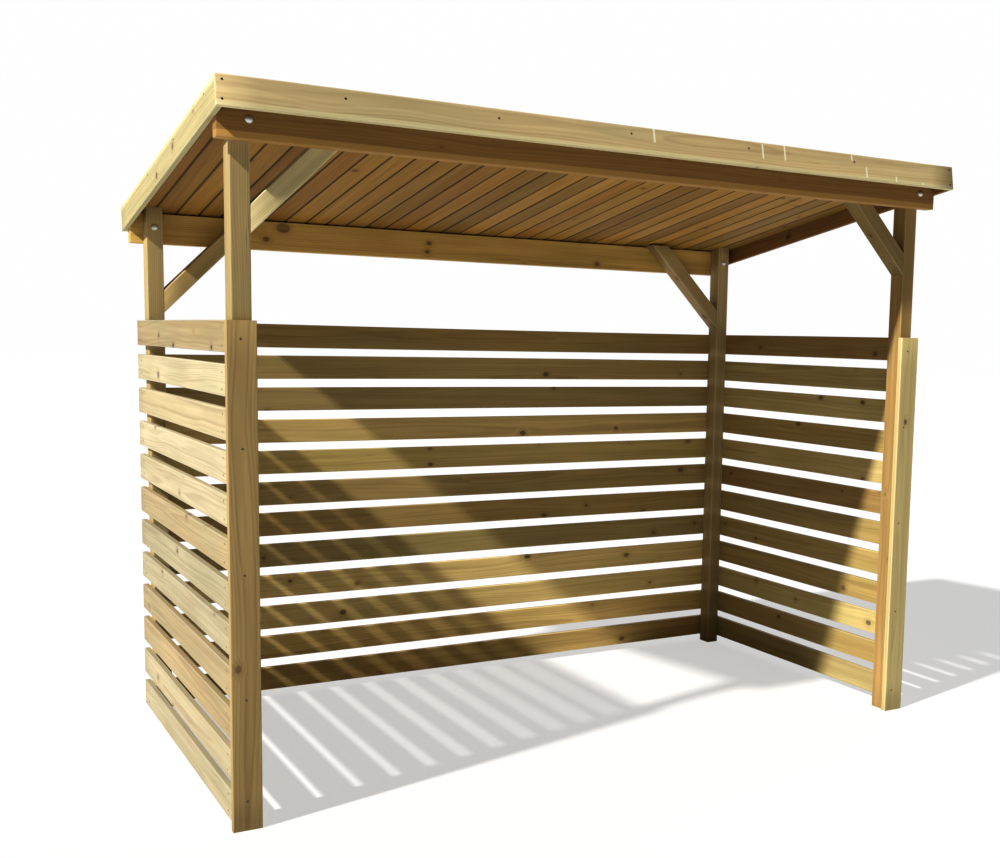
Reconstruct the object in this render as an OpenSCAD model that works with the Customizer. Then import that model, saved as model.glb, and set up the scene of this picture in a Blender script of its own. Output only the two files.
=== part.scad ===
// Open-fronted garden log store.
// Four square-cut posts carry two beams and a single-pitch roof that falls to the back.
// Left, right and back are closed with spaced horizontal slats; the front stays open.
// Millimetres, +Z up, front towards -Y. The origin lies on the ground under the centre of the store.

/* [Frame] */
// width over the outer faces of the posts
frame_w = 2720; // [1800:10:3600]
// depth from the front of the front posts to the back of the back posts
frame_d = 1350; // [800:10:1700]
// height of the roof boards' underside at the front of the front posts
front_h = 2185; // [2000:5:2500]
// post size along the front
post_w = 60; // [50:1:95]
// post size from front to back
post_d = 70; // [50:1:95]
// beam thickness from front to back
beam_t = 45; // [30:1:60]
// beam height
beam_h = 115; // [80:1:150]

/* [Braces] */
// width of a knee brace across its slope
brace_w = 60; // [40:1:75]
// distance from the beam's underside down to the heel of the brace
brace_drop = 262; // [150:1:280]

/* [Slats] */
// height of one slat
slat_h = 95; // [80:1:105]
// thickness of one slat
slat_t = 21; // [16:1:28]
// clear gap between two slats
slat_gap = 35; // [20:1:40]
// slats in each side
slat_count = 12; // [8:1:12]
// height of the lowest slat above the ground
slat_clear = 30; // [10:1:45]
// length by which the side slats run past the back of the back posts
slat_run = 40; // [28:1:60]
// width of the upright corner boards at the front
corner_w = 90; // [75:1:110]
// thickness of the upright corner boards
corner_t = 22; // [16:1:28]

/* [Roof] */
// fall of the roof towards the back, in degrees
roof_slope = 9; // [5:0.5:11]
// thickness of the roof boards
deck_t = 20; // [16:1:28]
// roof overhang past the posts at each side
side_over = 63; // [45:1:120]
// roof overhang past the front of the front posts, along the slope
front_over = 124; // [80:1:220]
// level distance from the back of the back posts to the end of the roof
back_over = 95; // [75:1:180]
// height of the fascia boards
fascia_h = 90; // [70:1:110]
// thickness of the fascia boards
fascia_t = 18; // [14:1:24]
// height by which the fascia boards stand above the roof boards
fascia_up = 8; // [0:1:20]

/* [Hidden] */

post_x = frame_w / 2;                        // outer face of the posts
slat_top = slat_clear + slat_count * slat_h + (slat_count - 1) * slat_gap;
beam_over = side_over - fascia_t;            // the beams end against the side fascias
roof_back = (frame_d + back_over) / cos(roof_slope);
fascia_z = deck_t + fascia_up - fascia_h;    // lower edge of the fascias in the roof's plane
// the roof's lowest front edge and its highest back edge set the depth of the whole store
front_y = -front_over * cos(roof_slope) + fascia_z * sin(roof_slope);
back_y = roof_back * cos(roof_slope) + (fascia_z + fascia_h) * sin(roof_slope);
shift_y = -(front_y + back_y) / 2;

timber = [0.60, 0.48, 0.30];
board = [0.72, 0.60, 0.38];
deck_wood = [0.50, 0.36, 0.20];

// underside of the roof boards above a point that lies y behind the front of the front posts
function roof_z(y) = front_h - y * tan(roof_slope);

// shapes are drawn with y counted from the front of the front posts
module placed() translate([0, shift_y, 0]) children();

// draws in the roof's own plane: y runs down the slope, z = 0 is the boards' underside
module on_roof() placed() translate([0, 0, front_h]) rotate([-roof_slope, 0, 0]) children();

// extrudes a profile drawn in y and z along x, from x0 over a length
module along_x(x0, length)
  translate([x0, 0, 0]) rotate([90, 0, 90]) linear_extrude(length) children();

// extrudes a profile drawn in x and z along y, from y0 over a length
module along_y(y0, length)
  translate([0, y0 + length, 0]) rotate([90, 0, 0]) linear_extrude(length) children();

// post with its head cut to the slope of the roof; side is -1 on the left and 1 on the right
module post(side, y0)
  color(timber) placed()
    along_x(side < 0 ? -post_x : post_x - post_w, post_w)
      polygon([[y0, 0], [y0 + post_d, 0], [y0 + post_d, roof_z(y0 + post_d)], [y0, roof_z(y0)]]);

module post_front_left() post(-1, 0);
module post_front_right() post(1, 0);
module post_back_left() post(-1, frame_d - post_d);
module post_back_right() post(1, frame_d - post_d);

// square beam whose upper back edge carries the roof boards
module beam(y0, top)
  color(timber) placed()
    translate([-post_x - beam_over, y0, top - beam_h])
      cube([frame_w + 2 * beam_over, beam_t, beam_h]);

module beam_front() beam(-beam_t, front_h);
module beam_back() beam(frame_d, roof_z(frame_d + beam_t));

// knee brace at 45 degrees from a post's inner face up to the roof boards
module brace(side, y0, beam_top) {
  heel = beam_top - beam_h - brace_drop;
  head = roof_z(y0 + post_d);
  cut = brace_w / cos(45);
  inner = post_x - post_w;
  color(timber) placed() along_y(y0, post_d)
    polygon([for (p = [[0, heel], [head - heel, head], [head - heel - cut, head], [0, heel + cut]])
      [side * (inner - p[0]), p[1]]]);
}

module brace_front_left() brace(-1, 0, front_h);
module brace_front_right() brace(1, 0, front_h);
module brace_back_left() brace(-1, frame_d - post_d, roof_z(frame_d + beam_t));
module brace_back_right() brace(1, frame_d - post_d, roof_z(frame_d + beam_t));

// repeats a slat up one side of the store
module slat_stack()
  for (i = [0:slat_count - 1]) translate([0, 0, slat_clear + i * (slat_h + slat_gap)]) children();

module slats_side(side)
  color(board) placed()
    translate([side < 0 ? -post_x - slat_t : post_x, 0, 0])
      slat_stack() cube([slat_t, frame_d + slat_run, slat_h]);

module slats_left() slats_side(-1);
module slats_right() slats_side(1);

// back slats lie on the back faces of the back posts, between the side slats
module slats_back()
  color(board) placed()
    translate([-post_x, frame_d, 0]) slat_stack() cube([frame_w, slat_t, slat_h]);

// corner board over the front of a post and the ends of the side slats
module corner_board(side)
  color(board) placed()
    translate([side < 0 ? -post_x - slat_t : post_x + slat_t - corner_w, -corner_t, 0])
      cube([corner_w, corner_t, slat_top]);

module corner_board_left() corner_board(-1);
module corner_board_right() corner_board(1);

// closed layer of roof boards between the four fascias
module roof_deck()
  color(deck_wood) on_roof()
    translate([-post_x - beam_over, fascia_t - front_over, 0])
      cube([frame_w + 2 * beam_over, roof_back + front_over - 2 * fascia_t, deck_t]);

// fascia across the roof's front or back, over the ends of the side fascias
module fascia_across(y0)
  color(board) on_roof()
    translate([-post_x - side_over, y0, fascia_z])
      cube([frame_w + 2 * side_over, fascia_t, fascia_h]);

module fascia_front() fascia_across(-front_over);
module fascia_back() fascia_across(roof_back - fascia_t);

module fascia_side(side)
  color(board) on_roof()
    translate([side < 0 ? -post_x - side_over : post_x + beam_over, fascia_t - front_over, fascia_z])
      cube([fascia_t, roof_back + front_over - 2 * fascia_t, fascia_h]);

module fascia_left() fascia_side(-1);
module fascia_right() fascia_side(1);

post_front_left();
post_front_right();
post_back_left();
post_back_right();
beam_front();
beam_back();
brace_front_left();
brace_front_right();
brace_back_left();
brace_back_right();
slats_left();
slats_right();
slats_back();
corner_board_left();
corner_board_right();
roof_deck();
fascia_front();
fascia_back();
fascia_left();
fascia_right();
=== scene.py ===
"""Looks of the log store: every timber as its own board mesh, procedural pine, fixings, light and camera."""

import math
import random

import bmesh
import bpy
from mathutils import Matrix, Vector


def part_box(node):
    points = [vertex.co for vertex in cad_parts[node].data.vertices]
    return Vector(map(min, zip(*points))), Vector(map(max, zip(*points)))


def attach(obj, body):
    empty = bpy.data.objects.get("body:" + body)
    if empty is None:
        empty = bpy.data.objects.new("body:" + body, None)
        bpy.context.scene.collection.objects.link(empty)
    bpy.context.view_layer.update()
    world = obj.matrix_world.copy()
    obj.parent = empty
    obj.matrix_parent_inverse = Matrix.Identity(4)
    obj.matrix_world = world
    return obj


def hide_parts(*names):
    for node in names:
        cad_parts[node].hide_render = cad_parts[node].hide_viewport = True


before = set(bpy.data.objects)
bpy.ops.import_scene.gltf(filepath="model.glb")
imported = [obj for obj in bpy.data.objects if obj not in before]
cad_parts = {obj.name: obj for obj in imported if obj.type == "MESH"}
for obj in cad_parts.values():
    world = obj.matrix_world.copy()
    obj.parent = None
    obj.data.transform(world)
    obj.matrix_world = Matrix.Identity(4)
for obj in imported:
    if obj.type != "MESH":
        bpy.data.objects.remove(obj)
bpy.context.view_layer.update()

# fixings, in metres
SCREW_RADIUS = 0.0034
SCREW_SCATTER = 0.003  # the most that a screw lies off its line
SLAT_SCREWS = (-0.55, 0.55)  # heights on a slat, as shares of half its height
CORNER_SCREWS = (0.09, 0.42, 0.80, 1.18)  # heights on a corner board
CORNER_SCREW_BELOW_TOP = 0.055
CORNER_SCREW_OFF = 0.008  # to the left of the post's middle
BRACE_SCREWS = (0.025, 0.063)  # distances up a brace's underside from its heel
FASCIA_END = 0.018  # from the end of a front or back fascia to its pair of screws
FASCIA_PAIR = (-0.028, 0.028)  # heights of the pair about the board's middle
FASCIA_FIRST, FASCIA_STEP, FASCIA_ROW = 0.37, 0.49, 5  # the screws between the pairs
FASCIA_ROW_HEIGHT = 0.017
SIDE_FASCIA_END, SIDE_FASCIA_ROW, SIDE_FASCIA_HEIGHT = 0.12, 4, 0.026
BOLT_HEAD_RADIUS = 0.0125
BOLT_HEAD_HEIGHT = 0.0065
FRONT_LEFT_BOLT_OFF = 0.017  # to the right of the post's middle

# timbers
EASE = 0.0008  # the small chamfer round a timber's ends

# roof boards
BOARD_COVER = 0.085
BOARD_JOINT = 0.0022
V_DEPTH = 0.0032
TONGUE = 0.0055
ROOF_STRETCHES = 14  # lengths that each board's mesh is cut into
ROOF_SEED = 2227


# ---------------------------------------------------------------- reading the CAD solids


def islands(bm):
    """The connected groups of vertices of a bmesh."""
    left, groups = set(bm.verts), []
    while left:
        stack, group = [left.pop()], []
        while stack:
            v = stack.pop()
            group.append(v)
            for e in v.link_edges:
                w = e.other_vert(v)
                if w in left:
                    left.remove(w)
                    stack.append(w)
        groups.append(group)
    return groups


def facing(d):
    """The direction turned so that its largest part is positive."""
    largest = max(d, key=abs)
    return d.normalized() if largest > 0 else -d.normalized()


class Stick:
    """A straight timber read from one CAD solid: its long axis, its section and the planes of its two ends."""

    def __init__(self, verts):
        faces = {f for v in verts for f in v.link_faces}
        edges = {e for v in verts for e in v.link_edges}
        longest = max(edges, key=lambda e: e.calc_length())
        self.along = facing(longest.verts[1].co - longest.verts[0].co)
        sides = [f for f in faces if abs(f.normal.dot(self.along)) < 0.01]
        ends = [f for f in faces if f not in sides]
        ends.sort(key=lambda f: f.calc_center_median().dot(self.along))
        self.thick = facing(max(sides, key=lambda f: f.calc_area()).normal)
        self.wide = self.along.cross(self.thick).normalized()
        spans = [[v.co.dot(d) for v in verts] for d in (self.wide, self.thick)]
        self.half = [(max(s) - min(s)) / 2 for s in spans]
        mid = [(max(s) + min(s)) / 2 for s in spans]
        self.centre = self.wide * mid[0] + self.thick * mid[1]
        self.planes = [(ends[i].calc_center_median().copy(), ends[i].normal.copy()) for i in (0, -1)]
        reach = [v.co.dot(self.along) for v in verts]
        self.start, self.length = min(reach), max(reach) - min(reach)

    def point(self, u, v, t, inset=0.0):
        """The point at u across, v through and t from 0 to 1 along, on the line between the two end planes."""
        base = self.centre + self.wide * u + self.thick * v
        s = [(p - base).dot(n) / self.along.dot(n) for p, n in self.planes]
        reach = s[0] + inset + (s[1] - s[0] - 2 * inset) * t
        return base + self.along * reach, reach - self.start


def sticks(node):
    """A Stick for each solid of a CAD node, from the lowest to the highest."""
    bm = bmesh.new()
    bm.from_mesh(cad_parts[node].data)
    bmesh.ops.remove_doubles(bm, verts=bm.verts, dist=1e-5)
    bmesh.ops.dissolve_limit(bm, angle_limit=0.01, verts=bm.verts, edges=bm.edges)
    bm.normal_update()
    found = [Stick(group) for group in islands(bm)]
    bm.free()
    return sorted(found, key=lambda s: s.centre.z)


# ---------------------------------------------------------------- board meshes


def rounded_section(half_u, half_v, arris, steps=3):
    """A rectangle with rounded corners as (u, v, how much the point lies on an arris)."""
    points = []
    for k, (su, sv) in enumerate(((1, 1), (-1, 1), (-1, -1), (1, -1))):
        cu, cv = su * (half_u - arris), sv * (half_v - arris)
        turn = [math.radians(90 * (k + i / steps)) for i in range(steps + 1)]
        arc = [(cu + arris * math.cos(a), cv + arris * math.sin(a), 1.0) for a in turn]
        points += arc
        nxt = ((-1, 1), (-1, -1), (1, -1), (1, 1))[k]
        nu, nv = nxt[0] * (half_u - arris), nxt[1] * (half_v - arris)
        end = arc[-1]
        far = (nu + arris * math.cos(turn[-1]), nv + arris * math.sin(turn[-1]))
        run = math.hypot(far[0] - end[0], far[1] - end[1])
        # two points a little way in from the corners keep the shading of the flat faces flat
        share = min(0.25, 0.003 / run)
        for f in (share, 1 - share):
            points.append((end[0] + (far[0] - end[0]) * f, end[1] + (far[1] - end[1]) * f, 0.0))
    return points


class Timber:
    """Collects board meshes that share one Blender object."""

    def __init__(self):
        self.bm = bmesh.new()
        self.grain = self.bm.verts.layers.float_vector.new("grain")
        self.board = self.bm.verts.layers.float_vector.new("board")
        self.arris = self.bm.verts.layers.float.new("arris")

    def vertex(self, co, grain, board, arris):
        v = self.bm.verts.new(co)
        v[self.grain], v[self.board], v[self.arris] = grain, board, arris
        return v

    def skin(self, rings):
        """Joins rings of vertices into a closed board with flat ends."""
        n = len(rings[0])
        for a, b in zip(rings, rings[1:]):
            for i in range(n):
                f = self.bm.faces.new((a[i], a[(i + 1) % n], b[(i + 1) % n], b[i]))
                f.smooth = True
        for ring, turn in ((rings[0], -1), (rings[-1], 1)):
            cap = self.bm.faces.new(ring[::turn])
            for e in cap.edges:
                e.smooth = False

    def add(self, stick, rng, arris=0.002, crook=0.0, bow=0.0, spacing=0.12):
        """Adds one timber with eased arrises; crook bends it in its width and bow in its thickness."""
        board = Vector([rng.random() for _ in range(3)])
        section = rounded_section(stick.half[0], stick.half[1], arris)
        count = max(2, round(stick.length / spacing))
        crook, bow = crook * rng.uniform(-1, 1), bow * rng.uniform(-1, 1)
        phase = rng.uniform(0.8, 1.2)
        stations = [(0.0, 0.0, 1)] + [(i / count, EASE, 0) for i in range(count + 1)] + [(1.0, 0.0, 1)]
        rings = []
        for t, inset, shrunk in stations:
            belly = math.sin(math.pi * t ** phase) if 0 < t < 1 else 0.0
            shift = stick.wide * crook * belly + stick.thick * bow * belly
            ring = []
            for u, v, flag in section:
                if shrunk:
                    u -= math.copysign(EASE, u)
                    v -= math.copysign(EASE, v)
                co, s = stick.point(u, v, t, inset)
                # arris is 1 on the rounded corners and the eased ends, where pine paints its arris colour: a
                # painted highlight on most timbers
                ring.append(self.vertex(co + shift, (s, u, v), board, max(flag, float(shrunk))))
            rings.append(ring)
        self.skin(rings)

    def finish(self, name, node, material):
        bmesh.ops.recalc_face_normals(self.bm, faces=self.bm.faces)
        mesh = bpy.data.meshes.new(name)
        self.bm.to_mesh(mesh)
        self.bm.free()
        piece = bpy.data.objects.new(name, mesh)
        bpy.context.scene.collection.objects.link(piece)
        mesh.materials.append(material)
        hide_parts(node)
        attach(piece, "root")
        return piece


def build_timber(node, seed, material, **shape):
    """Replaces a CAD node with detailed timbers of the same size and place."""
    timber, rng = Timber(), random.Random(seed)
    for stick in sticks(node):
        timber.add(stick, rng, **shape)
    return timber.finish(node + "_timber", node, material)


def board_profile(cover, thick, first, last):
    """Section of a tongued and grooved board: V-joint below, tongue on the far side and groove on the near side."""
    j, v = BOARD_JOINT / 2, V_DEPTH
    mid = thick * 0.42
    near = [(j, v), (j, thick - 0.001)]
    if not first:
        near = [(j, v), (j, mid - 0.0032), (j + TONGUE + 0.001, mid - 0.0028),
                (j + TONGUE + 0.001, mid + 0.0028), (j, mid + 0.0032), (j, thick - 0.001)]
    far = [(cover - j, thick - 0.001), (cover - j, v)]
    if not last:
        far = [(cover - j, thick - 0.001), (cover - j, mid + 0.0027), (cover + TONGUE, mid + 0.0022),
               (cover + TONGUE, mid - 0.0022), (cover - j, mid - 0.0027), (cover - j, v)]
    low = [(cover - j - v, 0.0), (cover - j - v - 0.0015, 0.0), (cover * 0.66, 0.0), (cover * 0.33, 0.0),
           (j + v + 0.0015, 0.0), (j + v, 0.0)]
    high = [(j + 0.001, thick), (cover * 0.5, thick), (cover - j - 0.001, thick)]
    return near + high + far + low


def build_roof(material):
    """Tongued and grooved boards that run down the slope, in place of the CAD's slab."""
    slab = sticks("roof_deck")[0]
    down, up = facing(slab.wide), facing(slab.thick)
    if down.y < 0:
        down = -down
    across = slab.along
    width, run, thick = slab.length, slab.half[0] * 2, slab.half[1] * 2
    corner = slab.centre + across * slab.start - down * run / 2 - up * thick / 2
    count = round(width / BOARD_COVER)
    cover = width / count
    timber, rng = Timber(), random.Random(ROOF_SEED)
    for k in range(count):
        board = Vector([rng.random() for _ in range(3)])
        profile = board_profile(cover, thick, k == 0, k == count - 1)
        drop = rng.uniform(0.0, 0.0006)
        rings = []
        for i in range(ROOF_STRETCHES + 1):
            s = run * i / ROOF_STRETCHES
            ring = []
            for a, h in profile:
                # the faces of the V-joints take the arris colour, which on the roof is dark: painted shade in the
                # grooves
                painted_edge_shading = 1.0 if h <= V_DEPTH and min(a, cover - a) < BOARD_JOINT / 2 + V_DEPTH + 0.0005 else 0.0
                co = corner + across * (k * cover + a) + down * s + up * (h + (drop if h < thick / 2 else 0))
                ring.append(timber.vertex(co, (s, a - cover / 2, h - thick / 2), board, painted_edge_shading))
            rings.append(ring)
        timber.skin(rings)
    piece = timber.finish("roof_boards", "roof_deck", material)
    for f in piece.data.polygons:
        f.use_smooth = False
    return piece


# ---------------------------------------------------------------- fixings


def lathe(bm, profile, place, sides=20):
    """Turns a profile of (radius, height) round the z axis of place, outwards along +z."""
    rings = []
    for r, h in profile:
        if r == 0:
            rings.append([bm.verts.new(place @ Vector((0, 0, h)))])
        else:
            turn = [2 * math.pi * i / sides for i in range(sides)]
            rings.append([bm.verts.new(place @ Vector((r * math.cos(a), r * math.sin(a), h))) for a in turn])
    for a, b in zip(rings, rings[1:]):
        for i in range(sides):
            j = (i + 1) % sides
            if len(b) == 1:
                f = bm.faces.new((a[i], a[j], b[0]))
            else:
                f = bm.faces.new((a[i], a[j], b[j], b[i]))
            f.smooth = True


def seat(point, normal, spin=0.0):
    """The matrix of a fixing whose +z leaves the wood along normal."""
    turn = Vector((0, 0, 1)).rotation_difference(Vector(normal)).to_matrix().to_4x4()
    return Matrix.Translation(point) @ turn @ Matrix.Rotation(spin, 4, "Z")


def add_screw(bm, point, normal):
    """A countersunk screw head, dished, with its rim just above the wood."""
    r = SCREW_RADIUS
    lathe(bm, [(r * 1.02, -0.0006), (r, 0.0004), (r * 0.86, 0.0005), (r * 0.55, 0.0001), (0, 0.0)],
          seat(point, normal), 12)


def add_bolt_head(bm, point, normal):
    """A domed coach bolt head."""
    r, h = BOLT_HEAD_RADIUS, BOLT_HEAD_HEIGHT
    dome = [(r * math.cos(a), h * math.sin(a)) for a in [math.radians(d) for d in (0, 15, 30, 45, 60, 75)]]
    lathe(bm, [(r * 0.97, -0.001)] + dome + [(0, h)], seat(point, normal), 24)


def add_nut(bm, point, normal):
    """A washer, a hexagon nut with turned corners and the bolt's end."""
    place = seat(point, normal, 0.3)
    lathe(bm, [(0.0125, -0.001), (0.0125, 0.0012), (0.0120, 0.0016), (0.006, 0.0016)], place, 24)
    lathe(bm, [(0.0078, 0.0014), (0.0085, 0.0022), (0.0085, 0.0072), (0.0078, 0.0080), (0.004, 0.0080)], place, 6)
    lathe(bm, [(0.0039, 0.006), (0.0039, 0.0115), (0.0033, 0.0125), (0, 0.0125)], place, 16)


def finish_fixings(bm, name, material):
    bmesh.ops.recalc_face_normals(bm, faces=bm.faces)
    mesh = bpy.data.meshes.new(name)
    bm.to_mesh(mesh)
    bm.free()
    mesh.materials.append(material)
    piece = bpy.data.objects.new(name, mesh)
    bpy.context.scene.collection.objects.link(piece)
    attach(piece, "root")
    return piece


def middle(node, axis):
    lo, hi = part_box(node)
    return (lo[axis] + hi[axis]) / 2


def build_bolts(material):
    """Coach bolts through each beam and post: the dome in front and the nut behind."""
    bm = bmesh.new()
    for beam, posts in (("beam_front", ("post_front_left", "post_front_right")),
                        ("beam_back", ("post_back_left", "post_back_right"))):
        lo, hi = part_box(beam)
        z = (lo[2] + hi[2]) / 2
        for post in posts:
            plo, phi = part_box(post)
            x = middle(post, 0)
            front = min(lo[1], plo[1])
            back = max(hi[1], phi[1])
            x += FRONT_LEFT_BOLT_OFF if post == "post_front_left" else 0.0
            add_bolt_head(bm, Vector((x, front, z)), (0, -1, 0))
            add_nut(bm, Vector((x, back, z)), (0, 1, 0))
    return finish_fixings(bm, "coach_bolts", material)


def build_screws(material):
    """Screws through the slats, the corner boards, the fascias and the heels of the braces."""
    bm = bmesh.new()
    rng = random.Random(5)

    def jitter():
        return rng.uniform(-SCREW_SCATTER, SCREW_SCATTER)

    rows = [(s.centre.z, s.half[0]) for s in sticks("slats_left")]
    for side, posts in ((-1, ("post_front_left", "post_back_left")),
                        (1, ("post_front_right", "post_back_right"))):
        node = "slats_left" if side < 0 else "slats_right"
        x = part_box(node)[0 if side < 0 else 1][0]
        for post in posts:
            for z, half in rows:
                for dz in SLAT_SCREWS:
                    place = Vector((x, middle(post, 1) + jitter(), z + dz * half + jitter()))
                    add_screw(bm, place, (side, 0, 0))
    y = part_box("slats_back")[1][1]
    for post in ("post_back_left", "post_back_right"):
        for z, half in rows:
            for dz in SLAT_SCREWS:
                add_screw(bm, Vector((middle(post, 0) + jitter(), y, z + dz * half + jitter())), (0, 1, 0))
    for post, board in (("post_front_left", "corner_board_left"),
                        ("post_front_right", "corner_board_right")):
        y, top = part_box(board)[0][1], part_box(board)[1][2]
        for z in (*CORNER_SCREWS, top - CORNER_SCREW_BELOW_TOP):
            x = middle(post, 0) - CORNER_SCREW_OFF
            add_screw(bm, Vector((x + jitter(), y, z + 4 * jitter())), (0, -1, 0))
    add_fascia_screws(bm, jitter)
    add_brace_screws(bm)
    return finish_fixings(bm, "screws", material)


def add_fascia_screws(bm, jitter):
    """Screws in the outer faces of the fascias, into the ends of the side fascias and into the roof boards."""
    for node in ("fascia_front", "fascia_back"):
        stick = sticks(node)[0]
        out = stick.thick if (stick.thick.y < 0) == (node == "fascia_front") else -stick.thick
        up = stick.wide if stick.wide.z > 0 else -stick.wide
        face = stick.centre + out * stick.half[1]
        end = stick.length / 2 - FASCIA_END
        for x in (-end, end):
            for w in FASCIA_PAIR:
                add_screw(bm, face + stick.along * (x + jitter()) + up * (w + jitter()), out)
        for i in range(FASCIA_ROW):
            x = -stick.length / 2 + FASCIA_FIRST + FASCIA_STEP * i
            add_screw(bm, face + stick.along * (x + jitter()) + up * (FASCIA_ROW_HEIGHT + jitter()), out)
    for node in ("fascia_left", "fascia_right"):
        stick = sticks(node)[0]
        out = stick.thick if (stick.thick.x < 0) == (node == "fascia_left") else -stick.thick
        up = stick.wide if stick.wide.z > 0 else -stick.wide
        face = stick.centre + out * stick.half[1] + stick.along * (stick.start + stick.length / 2)
        for i in range(SIDE_FASCIA_ROW):
            share = i / (SIDE_FASCIA_ROW - 1)
            x = -stick.length / 2 + SIDE_FASCIA_END + (stick.length - 2 * SIDE_FASCIA_END) * share
            add_screw(bm, face + stick.along * (x + jitter()) + up * (SIDE_FASCIA_HEIGHT + jitter()), out)


def add_brace_screws(bm):
    """Two screws up through each brace's underside near its heel, into the post."""
    for side, nodes in ((-1, ("brace_front_left", "brace_back_left")),
                        (1, ("brace_front_right", "brace_back_right"))):
        for node in nodes:
            lo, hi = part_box(node)
            heel = Vector((lo[0] if side < 0 else hi[0], middle(node, 1), lo[2]))
            up = Vector((-side, 0, 1)).normalized()
            out = Vector((-side, 0, -1)).normalized()
            for reach in BRACE_SCREWS:
                add_screw(bm, heel + up * reach, out)


# ---------------------------------------------------------------- node helpers


class Nodes:
    """Short calls for building a node material."""

    def __init__(self, name):
        self.material = bpy.data.materials.new(name)
        self.material.use_nodes = True
        self.tree = self.material.node_tree
        self.shader = self.tree.nodes["Principled BSDF"]

    def new(self, kind, inputs=None, **settings):
        node = self.tree.nodes.new("ShaderNode" + kind)
        for key, value in settings.items():
            setattr(node, key, value)
        for key, value in (inputs or {}).items():
            self.plug(node.inputs[key], value)
        return node

    def plug(self, socket, value):
        if isinstance(value, bpy.types.NodeSocket):
            self.tree.links.new(value, socket)
        else:
            socket.default_value = value

    def math(self, operation, a, b=None):
        node = self.new("Math", operation=operation)
        self.plug(node.inputs[0], a)
        if b is not None:
            self.plug(node.inputs[1], b)
        return node.outputs[0]

    def vector(self, operation, a, b=None):
        node = self.new("VectorMath", operation=operation)
        self.plug(node.inputs[0], a)
        if b is not None:
            self.plug(node.inputs[3 if operation == "SCALE" else 1], b)
        return node.outputs[1 if operation == "LENGTH" else 0]

    def noise(self, vector, scale, detail=3.0, rough=0.5):
        node = self.new("TexNoise", {"Vector": vector, "Scale": scale, "Detail": detail, "Roughness": rough})
        return node.outputs[0]

    def span(self, value, low, high, to_low=0.0, to_high=1.0, smooth=True):
        node = self.new("MapRange", interpolation_type="SMOOTHSTEP" if smooth else "LINEAR")
        keys = ("Value", "From Min", "From Max", "To Min", "To Max")
        for key, v in zip(keys, (value, low, high, to_low, to_high)):
            self.plug(node.inputs[key], v)
        return node.outputs[0]

    def mix(self, share, a, b, blend="MIX"):
        node = self.new("Mix", data_type="RGBA", blend_type=blend)
        self.plug(node.inputs[0], share)
        self.plug(node.inputs[6], a if isinstance(a, bpy.types.NodeSocket) else (*a, 1.0))
        self.plug(node.inputs[7], b if isinstance(b, bpy.types.NodeSocket) else (*b, 1.0))
        return node.outputs[2]

    def ramp(self, value, stops):
        node = self.new("ValToRGB", {"Fac": value})
        ramp = node.color_ramp
        for _ in range(len(stops) - 2):
            ramp.elements.new(0.5)
        for element, (at, colour) in zip(ramp.elements, stops):
            element.position = at
            element.color = (*colour, 1.0)
        return node.outputs[0]

    def attribute(self, name):
        return self.new("Attribute", attribute_name=name)


# ---------------------------------------------------------------- materials

CREAM = (0.60, 0.475, 0.255)
HONEY = (0.55, 0.375, 0.155)
OLIVE = (0.43, 0.355, 0.165)
RUSSET = (0.42, 0.25, 0.105)
BLUSH = (0.56, 0.36, 0.20)
SAPWOOD = (0.66, 0.57, 0.29)

# pale rubs on the front fascia: place along it, then the two heights between which each runs, in metres
SCUFFS = ((1.44, -0.005, 0.05), (1.90, -0.015, 0.043), (2.00, -0.013, 0.05), (2.32, 0.018, 0.044),
          (2.39, -0.04, 0.005), (2.54, -0.045, -0.018), (2.68, -0.043, -0.029))
# knots on the back beam: place along it, height about its middle and radius, in metres
BEAM_KNOTS = ((0.584, 0.035, 0.024), (0.514, -0.014, 0.013), (1.214, 0.011, 0.012))
KNOT_CELL = (0.27, 0.13)  # one chance of a knot in each stretch of this length and width


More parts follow.
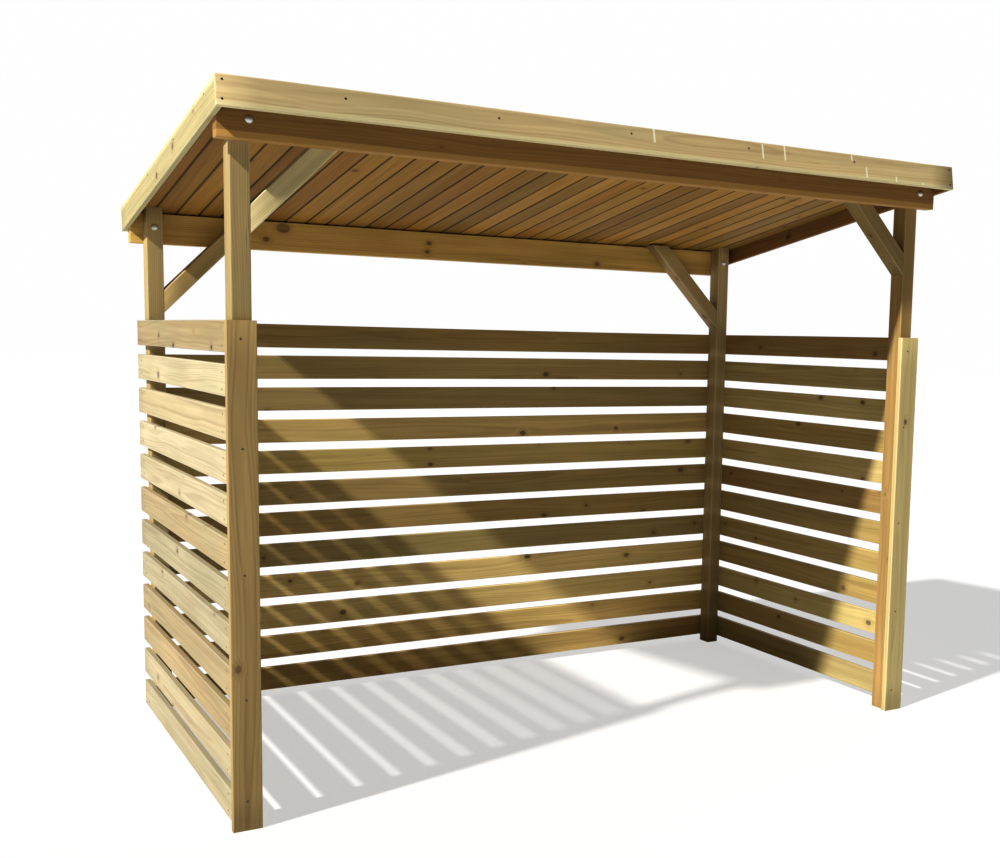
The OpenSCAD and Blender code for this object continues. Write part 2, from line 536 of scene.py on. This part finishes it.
def pine(name, tint=(1.0, 1.0, 1.0), knots=0.6, scuffs=(), spread=0.2, even=0.0, sapwood=0.0,
         strip=0.4, placed=(), top=None, painted_edge_shading=(0.62, 0.53, 0.34, 0.3)):
    """Planed, pressure-treated pine: growth rings round a pith, knots that the grain flows round, and a green tint.

    knots is roughly the share of knot cells that hold one, and placed are further knots, laid out as in BEAM_KNOTS.
    spread is how far boards differ in brightness and even how far their hues are drawn together. sapwood is how far
    below the middle of the width the pale sapwood starts and strip how much of it shows. scuffs are pale rub marks,
    laid out as in SCUFFS. top is the tint of the upper side where it differs; a paler top over a darker, browner
    underside is painted light and shade. edge is the colour painted on the arrises and the eased ends and how much
    of it shows: by default a pale painted highlight, and on the roof painted shade in the V-joints.
    """
    n = Nodes(name)
    grain = n.attribute("grain").outputs["Vector"]
    board = n.attribute("board").outputs["Vector"]
    pick = n.new("SeparateXYZ", {0: board}).outputs
    place = n.new("SeparateXYZ", {0: grain}).outputs
    apart = n.vector("ADD", grain, n.vector("SCALE", board, 40.0))

    # knots: one chance in each cell of a grid that is long along the board
    flat = n.vector("MULTIPLY", apart, (1 / KNOT_CELL[0], 1 / KNOT_CELL[1], 0.0))
    voronoi = n.new("TexVoronoi", {"Vector": flat, "Scale": 1.0, "Randomness": 0.65}, voronoi_dimensions="2D")
    centre = n.vector("MULTIPLY", voronoi.outputs["Position"], (*KNOT_CELL, 0.0))
    away = n.vector("SUBTRACT", n.vector("MULTIPLY", apart, (1.0, 1.0, 0.0)), centre)
    uneven = n.new("TexNoise", {"Vector": apart, "Scale": 40.0}).outputs[1]
    away = n.vector("ADD", away, n.vector("SCALE", uneven, 0.004))
    distance = n.math("SUBTRACT", n.vector("LENGTH", n.vector("MULTIPLY", away, (0.8, 1.1, 0.0))), 0.002)
    chance = n.new("SeparateXYZ", {0: voronoi.outputs["Color"]}).outputs
    size = n.span(chance[0], 1.0 - knots, 1.0, 0.0, 0.012, smooth=False)
    core = n.span(n.math("SUBTRACT", distance, size), -0.004, 0.0015, 1.0, 0.0)
    present = n.span(size, 0.001, 0.005)
    core = n.math("MULTIPLY", core, present)
    halo = n.math("MULTIPLY", n.span(n.math("SUBTRACT", distance, size), 0.0, 0.022, 1.0, 0.0), present)
    for at, level, reach in placed:
        off = n.vector("MULTIPLY", n.vector("SUBTRACT", grain, (at, level, 0.0)), (0.8, 1.1, 0.0))
        gap = n.math("SUBTRACT", n.vector("LENGTH", off), reach)
        core = n.math("MAXIMUM", core, n.span(gap, -0.006, 0.0015, 1.0, 0.0))
        halo = n.math("MAXIMUM", halo, n.span(gap, 0.0, 0.022, 1.0, 0.0))

    # growth rings round a pith that wanders along the board
    slow = n.vector("MULTIPLY", apart, (1.1, 0.0, 0.0))
    wander = n.new("TexNoise", {"Vector": slow, "Scale": 1.0, "Detail": 1.5})
    drift = n.new("SeparateXYZ", {0: wander.outputs[1]}).outputs
    fibre = n.noise(n.vector("MULTIPLY", apart, (3.0, 30.0, 30.0)), 1.0, 3.0)
    pith_side = n.math("SUBTRACT", n.math("ADD", pick[0], drift[0]), 1.0)
    side = n.math("ADD", place[1], n.math("MULTIPLY", pith_side, 0.09))
    pith_depth = n.math("ADD", pick[1], n.math("MULTIPLY", drift[1], 0.5))
    depth = n.math("ADD", place[2], n.math("ADD", 0.028, n.math("MULTIPLY", pith_depth, 0.05)))
    radius = n.math("SQRT", n.math("ADD", n.math("POWER", side, 2.0), n.math("POWER", depth, 2.0)))
    radius = n.math("ADD", radius, n.math("MULTIPLY", halo, 0.009))
    radius = n.math("ADD", radius, n.math("MULTIPLY", fibre, 0.004))
    spacing = n.math("ADD", 0.0045, n.math("MULTIPLY", pick[2], 0.004))
    turns = n.math("DIVIDE", radius, spacing)
    ring = n.math("FRACT", turns)
    late = n.math("MULTIPLY", n.span(ring, 0.35, 0.85), n.span(ring, 0.9, 1.0, 1.0, 0.0))
    strength = n.new("TexWhiteNoise", {"W": n.math("FLOOR", turns)}, noise_dimensions="1D").outputs[0]
    late = n.math("MULTIPLY", late, n.span(strength, 0.0, 1.0, 0.35, 1.0))

    # colour: each board has its own, broken by streaks, patches and the green of the treatment
    own = n.ramp(n.math("FRACT", n.math("MULTIPLY", pick[0], 7.31)),
                 [(0.0, CREAM), (0.35, HONEY), (0.6, CREAM), (0.8, OLIVE), (1.0, RUSSET)])
    streak = n.noise(n.vector("MULTIPLY", apart, (1.3, 38.0, 38.0)), 1.0, 4.0, 0.6)
    patch = n.noise(n.vector("MULTIPLY", apart, (2.2, 9.0, 9.0)), 1.0, 2.0)
    colour = n.mix(n.span(patch, 0.35, 0.75, 0.0, 0.55), own, OLIVE)
    colour = n.mix(even, colour, HONEY)
    blush = n.noise(n.vector("MULTIPLY", apart, (4.0, 16.0, 16.0)), 1.0, 2.0)
    colour = n.mix(n.span(blush, 0.5, 0.8, 0.0, 0.3), colour, BLUSH)
    colour = n.mix(n.math("MULTIPLY", late, 0.36), colour, (0.27, 0.165, 0.07))
    streaked = n.mix(1.0, colour, (0.66, 0.62, 0.55), "MULTIPLY")
    colour = n.mix(n.span(streak, 0.3, 0.7, 0.0, 0.5), colour, streaked)
    colour = n.mix(n.math("MULTIPLY", halo, 0.35), colour, (0.33, 0.20, 0.085))
    dark = n.math("MULTIPLY", core, n.span(chance[1], 0.0, 1.0, 0.55, 0.85))
    colour = n.mix(dark, colour, (0.10, 0.06, 0.03))
    if sapwood:
        wavy = n.math("MULTIPLY", n.math("SUBTRACT", patch, 0.5), 0.01)
        below = n.math("ADD", n.math("MULTIPLY", place[1], -1.0), wavy)
        colour = n.mix(n.span(below, sapwood - 0.002, sapwood + 0.002, 0.0, strip), colour, SAPWOOD)
    # arrises and eased ends take their own colour: a pale painted highlight by default, a dark painted shade in the
    # roof's V-joints
    arris = n.attribute("arris").outputs["Fac"]
    colour = n.mix(n.math("MULTIPLY", arris, painted_edge_shading[3]), colour, painted_edge_shading[:3])
    # a different tint on the upper side: on the roof a paler top over a browner underside, painted light and shade
    cast = tint if top is None else n.mix(n.span(place[2], 0.002, 0.006), tint, top)
    colour = n.mix(1.0, colour, cast, "MULTIPLY")
    own_tone = n.math("FRACT", n.math("MULTIPLY", pick[1], 5.17))
    tone = n.span(own_tone, 0.0, 1.0, 1.0 - spread, 1.0 + 0.7 * spread)
    colour = n.vector("SCALE", colour, tone)

    # short checks along the grain, their dark insides painted shade
    check = n.noise(n.vector("MULTIPLY", apart, (5.0, 210.0, 210.0)), 1.0, 2.0)
    where = n.noise(n.vector("MULTIPLY", apart, (2.0, 14.0, 14.0)), 1.0, 1.0)
    check = n.math("MULTIPLY", n.span(check, 0.70, 0.76), n.span(where, 0.55, 0.68))
    colour = n.mix(n.math("MULTIPLY", check, 0.8), colour, (0.09, 0.055, 0.025))
    for at, low, high in scuffs:
        lean = n.math("ADD", place[0], n.math("MULTIPLY", place[1], 0.03))
        rub = n.span(n.math("ABSOLUTE", n.math("SUBTRACT", lean, at)), 0.002, 0.005, 1.0, 0.0)
        reach = n.math("ABSOLUTE", n.math("SUBTRACT", place[1], (low + high) / 2))
        rub = n.math("MULTIPLY", rub, n.span(reach, (high - low) / 2 - 0.006, (high - low) / 2, 0.8, 0.0))
        colour = n.mix(rub, colour, (0.84, 0.80, 0.66))

    hair = n.noise(n.vector("MULTIPLY", apart, (12.0, 900.0, 900.0)), 1.0, 2.0)
    height = n.math("SUBTRACT", n.math("ADD", n.math("MULTIPLY", late, 0.35), n.math("MULTIPLY", hair, 0.35)),
                    n.math("ADD", n.math("MULTIPLY", check, 1.6), n.math("MULTIPLY", core, 0.5)))
    bump = n.new("Bump", {"Height": height, "Strength": 0.45, "Distance": 0.0008})
    rough = n.span(streak, 0.2, 0.8, 0.58, 0.76, smooth=False)
    n.plug(n.shader.inputs["Base Color"], colour)
    n.plug(n.shader.inputs["Roughness"], rough)
    n.plug(n.shader.inputs["Normal"], bump.outputs[0])
    n.shader.inputs["Specular IOR Level"].default_value = 0.35
    return n.material


def zinc(name, colour, dull, sparkle=0.4):
    """Zinc plate with a faint spangle and dull patches. sparkle is how much of the spangle shows."""
    n = Nodes(name)
    place = n.new("TexCoord").outputs["Object"]
    spangle = n.new("TexVoronoi", {"Vector": place, "Scale": 420.0}).outputs["Distance"]
    patch = n.noise(place, 160.0, 3.0)
    shade = n.mix(n.span(patch, 0.4, 0.7, 0.0, 0.6), colour, dull)
    n.plug(n.shader.inputs["Base Color"], n.mix(n.math("MULTIPLY", spangle, sparkle), shade, (0.75, 0.75, 0.74)))
    n.plug(n.shader.inputs["Roughness"], n.span(patch, 0.3, 0.7, 0.28, 0.55))
    bump = n.new("Bump", {"Height": spangle, "Strength": 0.15, "Distance": 0.0003})
    n.plug(n.shader.inputs["Normal"], bump.outputs[0])
    n.shader.inputs["Metallic"].default_value = 1.0
    return n.material


# ---------------------------------------------------------------- stage

PALE = 0.78  # radiance of the surround that the camera sees
PALE_SHARE = 0.6  # how much of it the floor takes for the camera

# the two suns: strength, size in the sky in degrees, and the way their light travels
KEY_ENERGY, KEY_ANGLE, KEY_COLOUR = 5.1, 2.0, (1.0, 0.985, 0.95)
KEY_DIRECTION = (1.0, 0.25, -0.88)
RIM_ENERGY, RIM_ANGLE = 0.9, 50.0
RIM_DIRECTION = (-1.0, -0.9, -0.8)
FILL_COLOUR, FILL_STRENGTH = (1.0, 0.94, 0.80, 1.0), 0.04
EXPOSURE, GAMMA = 0.35, 0.75

# the camera, close to the one fitted to the photo: its turns in degrees, and its place from the outer front corner
# of the front left post's foot in metres
LENS = 44.08
SHIFT_X, SHIFT_Y = -0.130, 0.0492
YAW, PITCH, ROLL = -31.668, -6.481, 1.278
CAMERA_FROM_FOOT = (-0.895, -3.697, 1.525)


def build_floor():
    """A plain pale studio floor."""
    bm = bmesh.new()
    bmesh.ops.create_circle(bm, cap_ends=True, radius=60.0, segments=96)
    mesh = bpy.data.meshes.new("floor")
    bm.to_mesh(mesh)
    bm.free()
    floor = bpy.data.objects.new("floor", mesh)
    bpy.context.scene.collection.objects.link(floor)
    n = Nodes("studio_floor")
    shade = n.noise(n.new("TexCoord").outputs["Object"], 3.0, 4.0)
    n.plug(n.shader.inputs["Base Color"], n.mix(shade, (0.72, 0.72, 0.72), (0.75, 0.75, 0.75)))
    n.shader.inputs["Roughness"].default_value = 0.9
    # the camera sees a paler floor than the one that lights the wood, so that the shadows on it stay soft
    glow = n.new("Emission", {"Color": (1.0, 1.0, 1.0, 1.0), "Strength": PALE})
    pale = n.new("MixShader", {0: PALE_SHARE, 1: n.shader.outputs[0], 2: glow.outputs[0]})
    seen = n.new("LightPath").outputs["Is Camera Ray"]
    both = n.new("MixShader", {0: seen, 1: n.shader.outputs[0], 2: pale.outputs[0]})
    n.plug(n.tree.nodes["Material Output"].inputs["Surface"], both.outputs[0])
    mesh.materials.append(n.material)


def add_sun(name, energy, angle, direction, colour=(1.0, 1.0, 1.0)):
    """A sun whose light travels along direction; angle is its size in the sky, in degrees."""
    sun = bpy.data.lights.new(name, "SUN")
    sun.energy = energy
    sun.angle = math.radians(angle)
    sun.color = colour
    lamp = bpy.data.objects.new(name, sun)
    lamp.rotation_mode = "QUATERNION"
    lamp.rotation_quaternion = Vector(direction).to_track_quat("-Z", "Y")
    bpy.context.scene.collection.objects.link(lamp)


def build_light():
    """A key from the left, a broad weak rim light from the back right and a pale surround."""
    add_sun("key", KEY_ENERGY, KEY_ANGLE, KEY_DIRECTION, KEY_COLOUR)
    add_sun("rim", RIM_ENERGY, RIM_ANGLE, RIM_DIRECTION)
    world = bpy.data.worlds.new("studio")
    world.use_nodes = True
    tree = world.node_tree
    fill = tree.nodes["Background"]
    fill.inputs["Color"].default_value = FILL_COLOUR
    fill.inputs["Strength"].default_value = FILL_STRENGTH
    seen = tree.nodes.new("ShaderNodeBackground")
    seen.inputs["Color"].default_value = (1.0, 1.0, 1.0, 1.0)
    seen.inputs["Strength"].default_value = PALE
    path = tree.nodes.new("ShaderNodeLightPath")
    mix = tree.nodes.new("ShaderNodeMixShader")
    tree.links.new(path.outputs["Is Camera Ray"], mix.inputs[0])
    tree.links.new(fill.outputs[0], mix.inputs[1])
    tree.links.new(seen.outputs[0], mix.inputs[2])
    tree.links.new(mix.outputs[0], tree.nodes["World Output"].inputs[0])
    bpy.context.scene.world = world
    view = bpy.context.scene.view_settings
    view.view_transform = "Standard"
    view.exposure = EXPOSURE
    view.gamma = GAMMA


def build_camera():
    """Eye height, off the store's left front corner."""
    data = bpy.data.cameras.new("camera")
    data.sensor_width = 36.0
    data.lens = LENS
    data.shift_x, data.shift_y = SHIFT_X, SHIFT_Y
    camera = bpy.data.objects.new("camera", data)
    front_left = Vector((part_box("post_front_left")[0][0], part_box("post_front_left")[0][1], 0.0))
    turn = (Matrix.Rotation(math.radians(YAW), 4, "Z")
            @ Matrix.Rotation(math.radians(90 + PITCH), 4, "X")
            @ Matrix.Rotation(math.radians(ROLL), 4, "Z"))
    camera.matrix_world = Matrix.Translation(front_left + Vector(CAMERA_FROM_FOOT)) @ turn
    bpy.context.scene.collection.objects.link(camera)
    bpy.context.scene.camera = camera


# ---------------------------------------------------------------- the log store

mid_pine = pine("mid_pine", tint=(0.92, 0.95, 0.94))
# darker, browner tint for the front right post and brace: partly their own tone, partly painted shade, for they
# stand in shade
dull_painted_shade_pine = pine("dull_painted_shade_pine", tint=(0.68, 0.63, 0.55), spread=0.05)
pale_pine = pine("pale_pine", tint=(1.00, 1.06, 1.12), spread=0.05)
honey_pine = pine("honey_pine", tint=(1.06, 0.91, 0.52), knots=0.9, spread=0.1, placed=BEAM_KNOTS)
# red-brown tint for the front beam: partly its own colour, partly painted shade from the fascia overhanging it
brown_painted_shade_pine = pine("brown_painted_shade_pine", tint=(0.61, 0.42, 0.24), spread=0.05, sapwood=0.036, strip=0.9)
back_slat_pine = pine("back_slat_pine", tint=(1.10, 1.09, 0.91), spread=0.4)
# the left slats' paler, bluer cast is painted light: the look of their sunlit side
left_slat_painted_light_pine = pine("left_slat_painted_light_pine", tint=(0.81, 0.90, 1.14), knots=0.4, spread=0.16)
# the right slats' darker, browner cast is painted shade: the look of their shaded side
right_slat_painted_shade_pine = pine("right_slat_painted_shade_pine", tint=(0.84, 0.87, 0.75))
# very dark tint for the right fascia: painted shade, its inner face standing deep in shade
painted_shade_fascia_pine = pine("painted_shade_fascia_pine", tint=(0.45, 0.31, 0.17), spread=0.05, sapwood=0.036)
dark_corner_pine = pine("dark_corner_pine", tint=(0.73, 0.67, 0.56), knots=0.35, spread=0.0)
pale_corner_pine = pine("pale_corner_pine", tint=(1.20, 1.23, 1.26), knots=0.35, spread=0.0)
# roof boards: the dark brown tint underneath against the paler top is painted shade and light, and their dark arris
# colour paints shade into the V-joints
roof_pine = pine("roof_pine", tint=(0.75, 0.60, 0.28), knots=0.3, spread=0.25, even=0.4, top=(0.78, 0.80, 0.78),
                 painted_edge_shading=(0.11, 0.07, 0.04, 0.8))
FASCIA = {"tint": (1.03, 1.12, 1.32), "knots": 0.4, "spread": 0.05, "sapwood": 0.031}
fascia_pine = pine("fascia_pine", **FASCIA)
front_fascia_pine = pine("front_fascia_pine", scuffs=SCUFFS, **FASCIA)

for k, (node, wood) in enumerate((("post_front_left", mid_pine), ("post_front_right", dull_painted_shade_pine),
                                  ("post_back_left", mid_pine), ("post_back_right", pale_pine),
                                  ("beam_front", brown_painted_shade_pine), ("beam_back", honey_pine),
                                  ("brace_front_left", pale_pine), ("brace_front_right", dull_painted_shade_pine),
                                  ("brace_back_left", mid_pine), ("brace_back_right", pale_pine))):
    build_timber(node, 10 + k, wood, arris=0.003)
build_timber("slats_left", 4236, left_slat_painted_light_pine, crook=0.0012, bow=0.001)
build_timber("slats_right", 2729, right_slat_painted_shade_pine, crook=0.0012, bow=0.001)
build_timber("slats_back", 3214, back_slat_pine, crook=0.003, bow=0.0015)
build_timber("corner_board_left", 50, dark_corner_pine)
build_timber("corner_board_right", 51, pale_corner_pine)
build_timber("fascia_front", 60, front_fascia_pine)
build_timber("fascia_back", 61, fascia_pine)
build_timber("fascia_left", 62, fascia_pine)
build_timber("fascia_right", 63, painted_shade_fascia_pine)
build_roof(roof_pine)
build_bolts(zinc("bolt_zinc", (0.62, 0.62, 0.60), (0.40, 0.39, 0.37)))
# the screw heads are dark: partly a dark coating, partly painted shade of their countersunk holes
build_screws(zinc("screw_coat_and_painted_shade", (0.10, 0.085, 0.06), (0.05, 0.04, 0.03), sparkle=0.05))

build_floor()
build_light()
build_camera()
